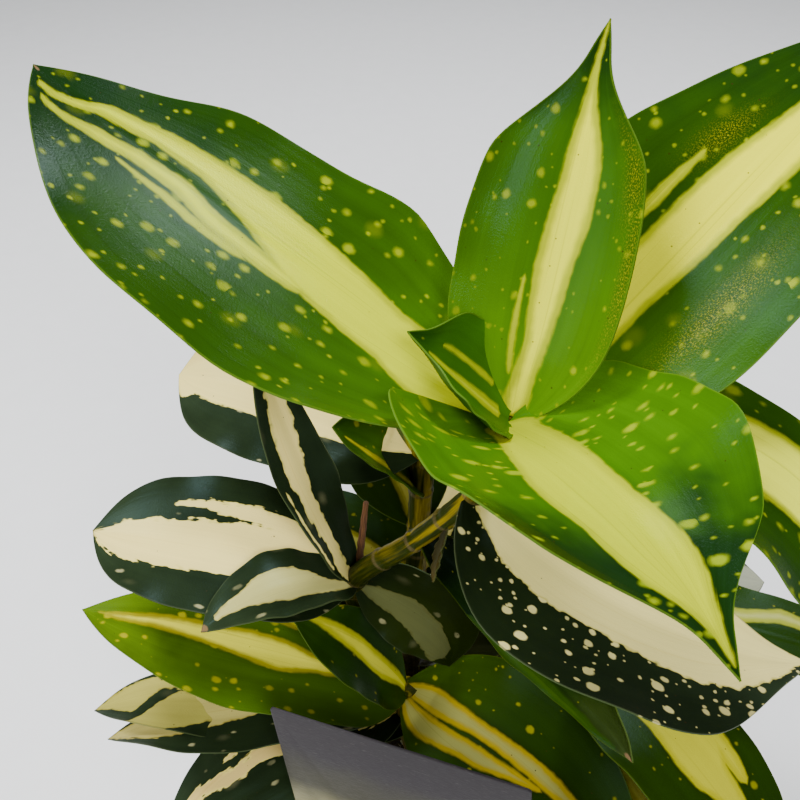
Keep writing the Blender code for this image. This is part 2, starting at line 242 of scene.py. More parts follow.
# The soil
# Moist peat mix, pressed into the pot by hand and heaped a little in the middle. Crumbs of peat,
# white grains of perlite and flat chips of bark lie loose on top.
SOIL_LOW = 2.3
SOIL_TOP = 96.0
SOIL_CROWN = 3.0
LUMP_ROOM = 1.2
LUMPS = ((0.11, 1.1, 3.0), (0.34, 0.7, 8.0))
SOIL_GAP = 0.3
SOIL_SIDES = 112
SOIL_RINGS = 34
STREWN_MARGIN = 2.5
soil_reach = wall_radius(SOIL_TOP) - POT_WALL - SOIL_GAP


def crown(x, y):
    """The soil's height at a place, lumpy, highest in the middle."""
    reach = min(math.hypot(x, y) / soil_reach, 1.0)
    lumps = sum(noise.noise(Vector((x * pitch, y * pitch, layer))) * rise for pitch, rise, layer in LUMPS)
    return SOIL_TOP + (SOIL_CROWN - LUMP_ROOM) * (1 - reach ** 2) + lumps * (1 - reach ** 6)


soil_outline = [(20, SOIL_LOW), (wall_radius(SOIL_LOW) - POT_WALL - SOIL_GAP - 0.4, SOIL_LOW)]
soil_outline += [(wall_radius(height) - POT_WALL - SOIL_GAP, height) for height in (30, 60)]
soil_outline += [(soil_reach * (1 - ring / SOIL_RINGS), SOIL_TOP) for ring in range(SOIL_RINGS)]
soil = turned_piece("peat_soil", soil_outline, SOIL_SIDES)
for vertex in soil.data.vertices:
    x, y, z = vertex.co / MM
    if z > SOIL_TOP - 1:
        vertex.co.z = crown(x, y) * MM
soil.data.polygons.foreach_set("use_smooth", [True] * len(soil.data.polygons))


def strewn(name, pattern, count, seed, sizes, flat, sink):
    """Copies of one crumb thrown over the soil, each turned and sized by chance, joined as one piece."""
    draw = random.Random(seed)
    copies = []
    for _ in range(count):
        reach = (soil_reach - STREWN_MARGIN) * math.sqrt(draw.random())
        angle = draw.uniform(0, 2 * math.pi)
        x, y = reach * math.cos(angle), reach * math.sin(angle)
        size = draw.uniform(*sizes)
        copy = pattern.copy()
        copy.data = pattern.data.copy()
        turn = Matrix.Rotation(draw.uniform(0, 6.28), 4, "Z")
        turn = turn @ Matrix.Rotation(draw.uniform(-0.6, 0.6), 4, "X")
        grow = Matrix.Diagonal((size * draw.uniform(0.8, 1.4), size * draw.uniform(0.7, 1.1),
                                size * flat * draw.uniform(0.8, 1.2), 1.0))
        lift = Matrix.Translation(Vector((x, y, crown(x, y) + size * flat * sink)) * MM)
        copy.data.transform(lift @ turn @ grow)
        bpy.context.collection.objects.link(copy)
        copies.append(copy)
    bpy.data.objects.remove(pattern)
    bpy.ops.object.select_all(action="DESELECT")
    for copy in copies:
        copy.select_set(True)
    bpy.context.view_layer.objects.active = copies[0]
    bpy.ops.object.join()
    copies[0].name = copies[0].data.name = name
    return copies[0]


def crumb(subdivisions, rough, seed):
    """A small broken lump, one millimetre across, with its corners pushed in and out."""
    bpy.ops.mesh.primitive_ico_sphere_add(subdivisions=subdivisions, radius=0.5 * MM)
    lump = bpy.context.object
    for vertex in lump.data.vertices:
        vertex.co *= 1 + rough * noise.noise(vertex.co / MM * 3 + Vector((seed, 0, 0)))
    return lump


peat_crumbs = strewn("peat_crumbs", crumb(1, 0.9, 1.0), 420, 4, (1.0, 3.6), 0.7, 0.2)
perlite = strewn("perlite_grains", crumb(2, 0.7, 5.0), 46, 8, (1.2, 3.2), 0.85, 0.3)
bark_chips = strewn("bark_chips", crumb(1, 1.2, 9.0), 60, 15, (3.0, 6.5), 0.28, 0.35)

peat, tree, shader = tree_of("moist_peat")
place = own_place(tree)
lumps = grain(place, (320, 320, 320), 5)
threads = grain(place, (1500, 600, 1500), 3)
body = mixed(ease(lumps, 0.35, 0.68), tone(30, 21, 15), tone(78, 58, 42))
body = mixed(ease(threads, 0.6, 0.72, 0.0, 0.6), body, tone(120, 92, 64))
coat(shader, body, ease(lumps, 0.3, 0.7, 0.75, 0.98), calc("ADD", swing(lumps, 1.6), swing(threads, 0.5)))
dress(soil, peat, "soil")
dress(peat_crumbs, peat, "soil")

grit, tree, shader = tree_of("perlite_white")
place = own_place(tree)
pores = grain(place, (1800, 1800, 1800), 3)
stain = grain(place, (300, 300, 300), 3)
body = mixed(ease(stain, 0.45, 0.7), tone(214, 208, 196), tone(150, 132, 108))
coat(shader, body, ease(pores, 0.3, 0.7, 0.8, 0.95), swing(pores, 0.4))
dress(perlite, grit, "soil")

bark, tree, shader = tree_of("bark_brown")
place = own_place(tree)
rings = grain(place, (900, 260, 900), 4)
body = mixed(ease(rings, 0.35, 0.65), tone(58, 38, 26), tone(116, 82, 56))
coat(shader, body, ease(rings, 0.3, 0.7, 0.7, 0.95), swing(rings, 0.7))
dress(bark_chips, bark, "soil")


# The canes
# Five thin bamboo-like canes that root in the soil, with raised rings where leaves once clasped
# them. They are woody and grey-brown low down, green with yellow streaks towards the top.
CANES = dict(
    head=[((-4, 24), 4.4), ((-12, 27, 150), 4.0), ((-15, 10, 197), 3.8), ((4, -4, 232), 3.2),
          ((20, -14, 262), 3.3), ((27, -16, 280), 4.2), ((28, -16, 291), 4.8)],
    low=[((8, -6), 4.2), ((4, -3, 128), 4.2), ((2, 0, 151), 4.6)],
    back=[((4, 42), 4.2), ((6, 44, 165), 4.0), ((8, 40, 230), 4.4)],
    right=[((30, 26), 4.2), ((46, 24, 145), 4.0), ((58, 14, 191), 4.4)],
    front=[((40, 4), 4.2), ((62, 4, 142), 4.0), ((62, -5, 179), 4.4)])
ROOT_HEIGHTS = (76, 100, 106)
for marks in CANES.values():
    (x, y), radius = marks[0]
    marks[:1] = [((x, y, height), radius) for height in ROOT_HEIGHTS]
CANE_SIDES = 24
PATH_STEPS = 24
ROW_SPACING = 0.9
RING_SPACING = 15.0
RING_HEIGHT = 0.38
FIRST_RING = 0.6
RING_LEAN = 0.5
RING_HALF = 0.8
DIP_ABOVE_RING = 2.0
DIP_HALF = 1.3


def smooth_path(points, steps):
    """Rounded steps between the cane's marked points: places and radii as arrays."""
    places = np.array([place for place, _ in points], float)
    radii = np.array([radius for _, radius in points], float)
    path, sizes = [], []
    for index in range(len(points) - 1):
        before = places[max(index - 1, 0)]
        start, end = places[index], places[index + 1]
        after = places[min(index + 2, len(points) - 1)]
        leave, arrive = (end - before) / 2, (after - start) / 2
        for share in np.arange(steps) / steps:
            square, cube = share ** 2, share ** 3
            path.append(start * (2 * cube - 3 * square + 1) + leave * (cube - 2 * square + share)
                        + end * (3 * square - 2 * cube) + arrive * (cube - square))
            sizes.append(radii[index] + (radii[index + 1] - radii[index]) * share)
    return np.array(path + [places[-1]]), np.array(sizes + [radii[-1]])


def carry(mesh, name, *numbers):
    """Three numbers for each vertex under one name, for the finish to read."""
    layer = mesh.attributes.new(name, "FLOAT_VECTOR", "POINT")
    values = np.stack(np.broadcast_arrays(*numbers), -1)
    layer.data.foreach_set("vector", values.astype(np.float32).ravel())


def flat_grid(name, columns, rows):
    """A flat square grid, and where its points lie across and along it, from -1 to 1."""
    bpy.ops.mesh.primitive_grid_add(x_subdivisions=columns, y_subdivisions=rows, size=2)
    piece = bpy.context.object
    piece.name = piece.data.name = name
    flat = np.empty(len(piece.data.vertices) * 3)
    piece.data.vertices.foreach_get("co", flat)
    return piece, flat[0::3], flat[1::3]


def place_at(run, marks, path):
    """Places on a path, looked up by how far along its marks they lie."""
    return np.stack([np.interp(run, marks, path[:, axis]) for axis in range(3)], -1)


def rolled_tube(name, points, seed, sides, ring_height, spacing):
    """A flat grid is rolled up along the path, its seam merged and both ends closed."""
    path, sizes = smooth_path(points, PATH_STEPS)
    steps = np.linalg.norm(np.diff(path, axis=0), axis=1)
    run = np.concatenate([[0], np.cumsum(steps)])
    length = run[-1]
    piece, across, upward = flat_grid(name, sides, int(length / ROW_SPACING))
    mesh = piece.data
    angle = across * math.pi
    along = (upward + 1) / 2 * length
    centre = place_at(along, run, path)
    heading = place_at(along + 0.5, run, path) - place_at(along - 0.5, run, path)
    heading /= np.linalg.norm(heading, axis=1)[:, None]
    east = np.cross(np.array([0.0, 1.0, 0.0]), heading)
    east /= np.linalg.norm(east, axis=1)[:, None]
    north = np.cross(heading, east)
    radius = np.interp(along, run, sizes)
    draw = random.Random(seed)
    ring = spacing * FIRST_RING
    rings = []
    while ring < length - 4:
        rings.append(ring)
        lean = draw.uniform(0, 2 * math.pi)
        off = along - ring - RING_LEAN * np.cos(angle - lean)
        swell = np.exp(-(off / RING_HALF) ** 2) - 0.5 * np.exp(-((off - DIP_ABOVE_RING) / DIP_HALF) ** 2)
        radius += ring_height * swell
        ring += spacing * draw.uniform(0.7, 1.35)
    radius += 0.08 * np.sin(3 * angle + along * 0.11) + 0.06 * np.sin(along * 0.9 + seed)
    around = east * np.cos(angle)[:, None] + north * np.sin(angle)[:, None]
    mesh.vertices.foreach_set("co", ((centre + around * radius[:, None]) * MM).ravel())
    nearest = np.min([np.abs(along - ring) for ring in rings], axis=0)
    carry(mesh, "cane_place", np.cos(angle) * 4 + seed * 50, np.sin(angle) * 4, along)
    carry(mesh, "cane_age", length - along, nearest, centre[:, 2])
    bpy.ops.object.mode_set(mode="EDIT")
    bpy.ops.mesh.select_all(action="SELECT")
    bpy.ops.mesh.remove_doubles(threshold=0.00001)
    bpy.ops.mesh.select_all(action="SELECT")
    bpy.ops.mesh.fill_holes(sides=0)
    faces_out()
    smooth(piece, 60)
    return piece


def attribute(tree, name, out=1):
    return put(tree, "Attribute", {}, out=out, attribute_name=name)


cane_skin, tree, shader = tree_of("cane_skin")
place = attribute(tree, "cane_place")
from_top, from_ring, height = parts_of(attribute(tree, "cane_age"))
streaks = grain(place, (0.26, 0.26, 0.028), 2)
fibres = grain(place, (2.6, 2.6, 0.1), 3)
mottle = grain(place, (0.5, 0.5, 0.5), 4)
young = mixed(ease(streaks, 0.48, 0.6), tone(44, 54, 2), tone(140, 122, 2))
green = mixed(ease(streaks, 0.54, 0.66), tone(32, 42, 4), tone(86, 78, 8))
skin = mixed(ease(from_top, 40.0, 110.0), young, green)
woody = mixed(ease(mottle, 0.4, 0.62), tone(92, 78, 56), tone(66, 62, 34))
skin = mixed(ease(calc("ADD", height, swing(mottle, 60.0)), 165.0, 105.0, 0.0, 0.85), skin, woody)
skin = mixed(ease(from_ring, 1.1, 0.4, 0.0, 0.65), skin, tone(96, 84, 52))
skin = mixed(ease(fibres, 0.35, 0.65, 0.0, 0.35), skin, tone(40, 46, 12), "MULTIPLY")
coat(shader, skin, ease(fibres, 0.3, 0.7, 0.38, 0.55),
     calc("ADD", swing(fibres, 0.14), swing(mottle, 0.12)), shine=0.08)

for seed, (stem, points) in enumerate(CANES.items()):
    cane = rolled_tube(f"{stem}_cane", points, seed, CANE_SIDES, RING_HEIGHT, RING_SPACING)
    dress(cane, cane_skin, f"{stem}_stem")

# The dry stub of an old flower stalk, still on the tall cane where its leaves spring.
DRY_STUB = [((-14, 11, 197), 1.4), ((-13.4, 13.6, 205), 1.25), ((-12, 17.5, 216), 1.1),
            ((-11, 20, 224), 0.8)]
STUB_SIDES = 14
STUB_RING_HEIGHT = 0.18
STUB_RING_SPACING = 6.0
stub = rolled_tube("dry_stub", DRY_STUB, 7, STUB_SIDES, STUB_RING_HEIGHT, STUB_RING_SPACING)
stub_brown, tree, shader = tree_of("dry_stalk")
place = attribute(tree, "cane_place")
threads = grain(place, (1.6, 1.6, 0.2), 3)
body = mixed(ease(threads, 0.35, 0.65), tone(66, 34, 16), tone(128, 84, 44))
coat(shader, body, ease(threads, 0.3, 0.7, 0.6, 0.85), swing(threads, 0.3))
dress(stub, stub_brown, "head_stem")


# The blades
# Oval leaves that spring from the canes: thin, waved at both margins, drawn to a point. New ones
# are grass green, banded and specked in yellow; old ones are near black with torn cream bands.
BLADE_THICKNESS = 0.45
TIP_HALF = 0.15
MIDRIB_STEPS = 400
RIGHT_MARGIN_LAG = 0.35
BASE_CALM = 0.15
TIP_CALM = 0.08
DRIP_START = 0.4
DRIP_LENGTH = 0.45
RIPPLES = 5.3
RIPPLE_HEIGHT = 0.35
GROOVE_DEPTH = 0.35
GROOVE_HALF = 1.8
BAND_COUNT = 3
BAND_END = 0.03
BAND_CLOSING = 3.0
NO_BAND = -99.0
NOISE_SHIFT = 211.0

# A form says where a blade springs, its size in millimetres and its turns in degrees. It is widest at
# a share of its length, full before that and blunt after it, and its margins wave so high and often.
USUAL_FORM = dict(droop=30, power=1.4, swing=0, roll=0, twist=0, lopsided=0, curl=15, cup=0, wave=1.5,
                  waves=2.0, phase=0.3, widest=0.42, full=3.0, blunt=2.4, drip=0.0, neck=0.14,
                  rows=64, columns=32)


def half_shape(share, form):
    """Half the width at each share of the length, as a share of the widest half."""
    widest = form["widest"]
    low = form["neck"] + (1 - form["neck"]) * (1 - np.clip(1 - share / widest, 0, 1) ** form["full"])
    past = np.clip((share - widest) / (1 - widest), 0, 1)
    draw_in = np.clip((past - DRIP_START) / DRIP_LENGTH, 0, 1)
    draw_in = draw_in ** 2 * (3 - 2 * draw_in)
    high = (1 - past ** form["blunt"]) * (1 - form["drip"] * draw_in)
    return np.where(share < widest, low, high)


def heading_at(share, form):
    azimuth = np.radians(form["azimuth"] + form["swing"] * share)
    pitch = np.radians(form["rise"] - form["droop"] * share ** form["power"])
    flat = np.cos(pitch)
    return np.stack([flat * np.cos(azimuth), flat * np.sin(azimuth), np.sin(pitch)], -1), azimuth


def blade_points(form, share, across, seed):
    """Places in millimetres: the midrib is bent, the blade bowed across it and waved at its margins."""
    middles = (np.arange(MIDRIB_STEPS) + 0.5) / MIDRIB_STEPS
    walk = np.cumsum(heading_at(middles, form)[0], 0) * form["length"] / MIDRIB_STEPS
    walk = np.concatenate([[[0, 0, 0]], walk])
    midrib = place_at(share, np.linspace(0, 1, MIDRIB_STEPS + 1), walk) + np.array(form["base"], float)
    forward, azimuth = heading_at(share, form)
    level = np.stack([-np.sin(azimuth), np.cos(azimuth), 0 * azimuth], -1)
    upward = np.cross(forward, level)
    turn = np.radians(form["roll"] + form["twist"] * share)[:, None]
    side = level * np.cos(turn) + upward * np.sin(turn)
    normal = upward * np.cos(turn) - level * np.sin(turn)
    shape = half_shape(share, form)
    uneven = np.where(across > 0, 1 + form["lopsided"], 1 - form["lopsided"])
    half = np.maximum(form["width"] / 2 * shape * uneven, TIP_HALF)
    bow = np.radians(form["curl"] + form["cup"] * (1 - share) ** 2)
    reach = half * np.sin(bow * across) / bow
    lift = half * (1 - np.cos(bow * across)) / bow
    fade = np.minimum(share / BASE_CALM, 1) * np.minimum((1 - share) / TIP_CALM, 1)
    beat = form["waves"] * share + form["phase"] + np.where(across > 0, RIGHT_MARGIN_LAG, 0.0)
    lift = lift + form["wave"] * fade * shape * np.abs(across) ** 2.2 * np.sin(2 * np.pi * beat)
    ripple = np.sin(2 * np.pi * (RIPPLES * share + 0.37 * seed + np.where(across > 0, 0.2, 0.0)))
    lift = lift + RIPPLE_HEIGHT * fade * shape * np.abs(across) ** 4 * ripple
    lift = lift - GROOVE_DEPTH * fade * np.exp(-(across * half / GROOVE_HALF) ** 2)
    return midrib + side * reach[:, None] + normal * lift[:, None], half


def band_reach(band, share, half):
    """Where a band lies: how far its middle is from the midrib, and half its width, in millimetres."""
    marks = [mark for mark, _, _ in band]
    low = np.interp(share, marks, [low for _, low, _ in band])
    high = np.interp(share, marks, [high for _, _, high in band])
    past_end = np.clip((share - marks[-1]) / BAND_END, 0, 1)
    past_end += np.clip((marks[0] - share) / BAND_END, 0, 1)
    return (low + high) / 2 * half, (high - low) / 2 * half - BAND_CLOSING * past_end


def patch(across, share, spots):
    """How strongly chosen spots mark each place of a blade, from 0 to 1."""
    amount = 0 * across
    for at_across, at_share, reach_across, reach_share in spots:
        far = ((across - at_across) / reach_across) ** 2 + ((share - at_share) / reach_share) ** 2
        amount = np.maximum(amount, np.exp(-far))
    return amount


# Dust patches hold gold dust with painted sheen: a darker green with gold specks.
def blade(name, stem, seed, form, bands, look, dust=(), dry=()):
    """One blade: a flat grid is bent to its form, marked for its finish and given its thickness."""
    form = {**USUAL_FORM, **form}
    piece, across, upward = flat_grid(name, form["columns"], form["rows"])
    mesh = piece.data
    count = len(mesh.vertices)
    across = -across
    share = 1 - (1 - (upward + 1) / 2) ** 1.5
    points, half = blade_points(form, share, across, seed)
    mesh.vertices.foreach_set("co", (points * MM).ravel())
    shift = NOISE_SHIFT * seed
    along = share * form["length"] + shift
    carry(mesh, "blade_place", across * half + shift, along, 0.0)
    carry(mesh, "vein_place", across * form["width"] / 2 + shift, along, 0.0)
    for index in range(BAND_COUNT):
        off, width = 0 * across, NO_BAND
        if index < len(bands):
            middle, width = band_reach(bands[index], share, half)
            off = across * half - middle
        carry(mesh, f"band_{index}", off, width, 0.0)
    carry(mesh, "blade_patch", patch(across, share, dust), patch(across, share, dry), 0.0)
    finish_modifier(piece, "SOLIDIFY", thickness=BLADE_THICKNESS * MM, offset=0.0)
    edge = half * (1 - np.abs(across))
    carry(mesh, "blade_edge", np.tile(edge, 2), np.tile(share, 2), np.repeat([0.0, 1.0], count))
    smooth(piece, 50)
    dress(piece, blade_finish(name + "_skin", look), f"{stem}_stem")


def flecks(place, cell, small, large, share, soft):
    """Round marks over the blade: so large a share of the cells holds one, each of chance size."""
    tree = place.id_data
    spread = vector("MULTIPLY", place, (1 / cell, 1 / cell, 0.0))
    cells = put(tree, "TexVoronoi", {"Vector": spread, "Scale": 1.0}, voronoi_dimensions="2D").node
    first, second, _ = parts_of(cells.outputs["Color"])
    reach = calc("MULTIPLY", cells.outputs["Distance"], cell)
    size = put(tree, "Math", {0: calc("POWER", first, 1.6), 1: large - small, 2: small},
               operation="MULTIPLY_ADD")
    mark = ease(calc("SUBTRACT", size, reach), -soft, soft)
    return calc("MULTIPLY", mark, calc("LESS_THAN", second, share))


# Each look gives colours as 0 to 255, the shares of the length at which the green turns, and layers
# of flecks: cell, smallest and largest in millimetres, share of cells, softness and strength.
# The lighter, more lime green towards the base is partly the young blade's own colour and partly painted
# light shining through it.
FRESH = dict(base=(64, 108, 5), middle=(36, 68, 4), tip=(18, 44, 13), turn=(0.25, 0.5, 0.82),
             edge=(160, 168, 2), band=(196, 204, 4), edge_width=2.8, soft=0.6, torn=0.4, tooth=0.3,
             lines=0.25, glow=0.4, fleck=(138, 152, 0), stretch=(1.0, 0.85), rim=(92, 122, 24),
             gloss=0.19, shine=0.032, clusters=0.3,
             layers=((7.0, 0.35, 1.4, 0.66, 0.75, 1.0), (4.6, 0.2, 0.55, 0.45, 0.35, 0.9),
                     (9.0, 1.0, 2.4, 0.28, 1.3, 0.22)))
LIME = dict(FRESH, base=(72, 118, 6), middle=(58, 102, 6), turn=(0.1, 0.36, 0.62))
SHADED = dict(FRESH, base=(56, 84, 10), middle=(42, 68, 8), tip=(38, 66, 8), edge=(152, 144, 5),
              band=(212, 207, 50), fleck=(146, 142, 10), rim=(66, 84, 14), gloss=0.29,
              layers=((9.0, 0.3, 1.2, 0.42, 0.4, 0.8), (5.0, 0.15, 0.4, 0.25, 0.25, 0.6)))
OLD = dict(base=(22, 32, 15), middle=(26, 37, 19), tip=(38, 50, 31), turn=(0.1, 0.5, 0.95),
           edge=(220, 204, 110), band=(236, 216, 130), edge_width=0.8, soft=0.2, torn=1.0, tooth=0.7,
           lines=0.15, glow=0.0, fleck=(196, 190, 138), stretch=(1.0, 0.55), rim=(62, 70, 44),
           gloss=0.31, shine=0.06, clusters=0.7,
           layers=((7.0, 0.3, 0.9, 0.3, 0.3, 0.5), (9.0, 0.8, 2.0, 0.25, 1.0, 0.12)))
# The ring blades' look: greens and bands darker than the shaded look, painted shade for the dark gaps deep
# among the leaves.
PAINTED_SHADE_RING_LOOK = dict(SHADED, base=(34, 54, 8), middle=(26, 44, 8), tip=(24, 42, 9), edge=(120, 114, 8),
                  band=(176, 168, 70), fleck=(110, 108, 14))
SPECKED = dict(OLD, stretch=(0.9, 0.9), torn=0.5, tooth=1.3, fleck=(240, 226, 150), clusters=0.25,
               band=(246, 230, 148),
               layers=((4.4, 0.4, 1.25, 0.62, 0.2, 1.0), (2.6, 0.14, 0.5, 0.38, 0.14, 0.95)))


def blade_finish(name, look):
    """The blade's skin: green from base to tip, its bands, flecks, veins, dry spots, pale margin and
    patches of dust with painted sheen.
    """
    material, tree, shader = tree_of(name)
    colour = {key: tone(*look[key]) for key in ("base", "middle", "tip", "edge", "band", "fleck", "rim")}
    place = attribute(tree, "blade_place")
    veins = attribute(tree, "vein_place")
    edge, share, lower = parts_of(attribute(tree, "blade_edge"))
    dust, dry, _ = parts_of(attribute(tree, "blade_patch"))

    fine = grain(veins, (1.7, 0.02, 0.0), 3)
    broad = grain(veins, (0.24, 0.012, 0.0), 2)
    cloud = grain(place, (0.055, 0.055, 0.0), 3)
    skin_grain = grain(place, (2.6, 1.9, 0.0), 2)
    start, middle, end = look["turn"]
    green = mixed(ease(share, start - 0.25, middle), colour["base"], colour["middle"])
    turned = calc("ADD", share, swing(cloud, 0.5))
    green = mixed(ease(turned, middle + 0.05, end + 0.1), green, colour["tip"])
    light = calc("ADD", swing(fine, 0.16), swing(broad, 0.5), swing(cloud, 0.5), 1.0)
    green = vector("SCALE", green, light)

    depths = []
    for index in range(BAND_COUNT):
        off, half, _ = parts_of(attribute(tree, f"band_{index}"))
        depths.append(calc("SUBTRACT", half, calc("ABSOLUTE", off)))
    tear = grain(veins, (0.6, 0.07, 0.0), 3)
    tooth = grain(place, (0.34, 0.3, 0.0), 1.5)
    ragged = calc("ADD", swing(tear, 2.4 * look["torn"]), swing(tooth, 3.0 * look["tooth"]))
    inside = calc("ADD", calc("MAXIMUM", *depths), ragged)
    if look["glow"]:
        halo = ease(inside, -3.2, 0.0, 0.0, look["glow"])
        green = mixed(halo, green, colour["edge"], "SOFT_LIGHT")

    wander = vector("SUBTRACT", grain(place, (0.5, 0.5, 0.0), 1.5, out=1), (0.5, 0.5, 0.5))
    wandered = vector("ADD", place, vector("SCALE", wander, 0.9))
    wandered = vector("MULTIPLY", wandered, (*look["stretch"], 0.0))
    gathered = ease(grain(place, (0.06, 0.06, 0.0), 1), 0.42, 0.58, 1.0 - look["clusters"], 1.0)
    for cell, small, large, amount, soft, strength in look["layers"]:
        marks = calc("MULTIPLY", flecks(wandered, cell, small, large, amount, soft), gathered, strength)
        green = mixed(marks, green, colour["fleck"])
    # Dust patches: a darker green with gold specks, partly real gold dust and partly painted sheen where
    # the lamps glint on the blade.
    green = mixed(calc("MULTIPLY", dust, 0.45), green, tone(24, 44, 8))
    gold_dust_and_glint = calc("MULTIPLY", dust, ease(grain(place, (3.4, 1.9, 0.0), 3), 0.46, 0.7))
    green = mixed(calc("MULTIPLY", gold_dust_and_glint, 0.75), green, tone(164, 158, 20))

    core = ease(inside, look["edge_width"] * 0.25, look["edge_width"])
    band = mixed(core, colour["edge"], colour["band"])
    hair = ease(grain(veins, (1.15, 0.008, 0.0), 2), 0.6, 0.68, 0.0, look["lines"])
    band = mixed(hair, band, colour["edge"], "MULTIPLY")
    band = vector("SCALE", band, calc("ADD", swing(fine, 0.1), swing(broad, 0.22), 1.0))
    skin = mixed(ease(inside, -look["soft"], look["soft"]), green, band)

    points = flecks(place, 9.0, 0.1, 0.24, 0.3, 0.05)
    skin = mixed(calc("MULTIPLY", points, 0.8), skin, tone(52, 40, 18))
    withered = ease(calc("ADD", dry, swing(tooth, 0.5)), 0.45, 0.62)
    skin = mixed(withered, skin, tone(116, 92, 62))
    rim = calc("ADD", edge, swing(tear, 0.5))
    skin = mixed(ease(rim, 0.4, 0.1, 0.0, 0.5), skin, colour["rim"])
    skin = mixed(calc("MULTIPLY", lower, 0.3), skin, tone(96, 118, 62))

    gloss = calc("ADD", swing(skin_grain, 0.12), look["gloss"], calc("MULTIPLY", lower, 0.2),
                 calc("MULTIPLY", withered, 0.4))
    relief = calc("ADD", swing(fine, 0.02), swing(broad, 0.12), swing(skin_grain, 0.05),
                  swing(grain(place, (0.9, 0.7, 0.0), 2), 0.03))
    coat(shader, skin, gloss, relief, look["shine"])
    shader.inputs["Specular Tint"].default_value = (0.48, 0.86, 0.94, 1.0)
    return material


# The rosette at the top of the tall cane, and one leaf that hangs below it.
blade("head_left_blade", "head", 1,
      dict(base=(26, -15, 289), azimuth=163.6, rise=33.3, length=146.7, width=79.4, droop=8.7, power=1.07,
           swing=-15.5, roll=-7.8, twist=11, lopsided=0.11, curl=8, cup=40, wave=1.3, waves=2.98,
           phase=0.14, widest=0.34, full=1.6, blunt=3.36, drip=0.14, neck=0.11),
      [[(0, -0.6, 0.6), (0.05, -0.6, 0.6), (0.15, -0.38, 0.45), (0.25, -0.29, 0.22), (0.35, -0.34, 0.17),
        (0.45, -0.4, 0.12), (0.55, -0.44, -0.04), (0.66, -0.43, -0.16), (0.76, -0.42, -0.17),
        (0.86, -0.35, -0.05), (0.96, 0.39, 0.61)],
       [(0.42, 0.05, 0.17), (0.5, 0.04, 0.18), (0.59, 0.03, 0.18), (0.67, -0.05, 0.11), (0.76, 0, 0.16),
        (0.84, 0.14, 0.32), (0.93, 0.55, 0.66)],
       [(0.52, 0.16, 0.22), (0.6, 0.17, 0.24), (0.68, 0.16, 0.23), (0.77, 0.23, 0.25)]],
      FRESH, dry=[(0.15, 1, 0.35, 0.02)])
blade("head_upright_blade", "head", 2,
      dict(base=(28, -15, 290), azimuth=67, rise=64, length=100, width=45, droop=20, power=1.2, curl=35,
           wave=1, waves=1.5, phase=0, widest=0.38, drip=0.6),
      [[(0, -0.5, 0.5), (0.1, -0.24, 0.15), (0.2, -0.24, 0.05), (0.3, -0.27, 0.1), (0.4, -0.3, 0.12),
        (0.5, -0.37, 0.11), (0.6, -0.39, 0.08), (0.7, -0.38, 0.1), (0.8, -0.29, 0.12), (0.9, -0.16, 0.25),
        (1, -0.3, 0.5)],
       [(0.12, 0.16, 0.24), (0.2, 0.16, 0.24), (0.36, 0.18, 0.22)]],
      dict(FRESH, base=(84, 130, 6), middle=(50, 90, 5), turn=(0.1, 0.6, 0.85), band=(222, 222, 18),
           layers=((6.5, 0.3, 0.95, 0.5, 0.5, 0.9), (3.8, 0.15, 0.4, 0.45, 0.25, 0.8))),
      # Painted sheen along the right margin: a darker green with gold specks, partly gold dust.
      dust=[(-0.86, 0.62, 0.12, 0.1), (-0.92, 0.42, 0.07, 0.2)])
blade("head_right_blade", "head", 3,
      dict(base=(30, -15, 286), azimuth=25.7, rise=39, length=149, width=71, droop=15.5, swing=19, roll=9.7,
           lopsided=0.1, curl=12, cup=7.4, wave=3, waves=1.15, phase=0.5, widest=0.45, full=3.4, blunt=1.84,
           neck=0.1),
      [[(0, -0.61, 0.6), (0.2, -0.05, 0.37), (0.3, -0.04, 0.35), (0.4, -0.09, 0.33), (0.5, -0.11, 0.33),
        (0.6, -0.17, 0.31), (0.7, -0.23, 0.26), (0.85, -0.27, 0.2), (0.97, -0.26, 0.11)],
       [(0.38, 0.44, 0.48), (0.45, 0.4, 0.49), (0.52, 0.41, 0.49), (0.58, 0.45, 0.47)]],
      # Painted sheen with gold dust in two patches: darker green and gold specks.
      dict(FRESH, band=(226, 224, 20)), dust=[(-0.5, 0.35, 0.13, 0.12), (0.46, 0.62, 0.1, 0.06)])
blade("head_front_blade", "head", 4,
      dict(base=(26, -18, 291), azimuth=-62, rise=25.8, length=90, width=77.9, droop=53.3, power=1.5,
           swing=-6.6, roll=-3.1, twist=-7, lopsided=-0.11, curl=24.6, cup=40, wave=2.7, waves=1.7,
           phase=0.13, widest=0.45, full=7.1, blunt=1.5, drip=0.6, neck=0.11),
      [[(0, -0.4, 0.4), (0.1, -0.22, 0.18), (0.2, -0.27, 0.17), (0.3, -0.33, 0.16), (0.4, -0.38, 0.14),
        (0.5, -0.4, 0.14), (0.6, -0.38, 0.2), (0.7, -0.42, 0.28), (0.78, -0.5, 0.38), (0.87, -0.4, 0.46),
        (0.97, -0.1, 0.41)]],
      dict(LIME, stretch=(0.5, 1), fleck=(142, 160, 2), clusters=0.2, band=(180, 188, 2),
           layers=((4.4, 0.3, 1.1, 0.55, 0.55, 0.95), (3, 0.15, 0.5, 0.32, 0.3, 0.8)), shine=0.012))
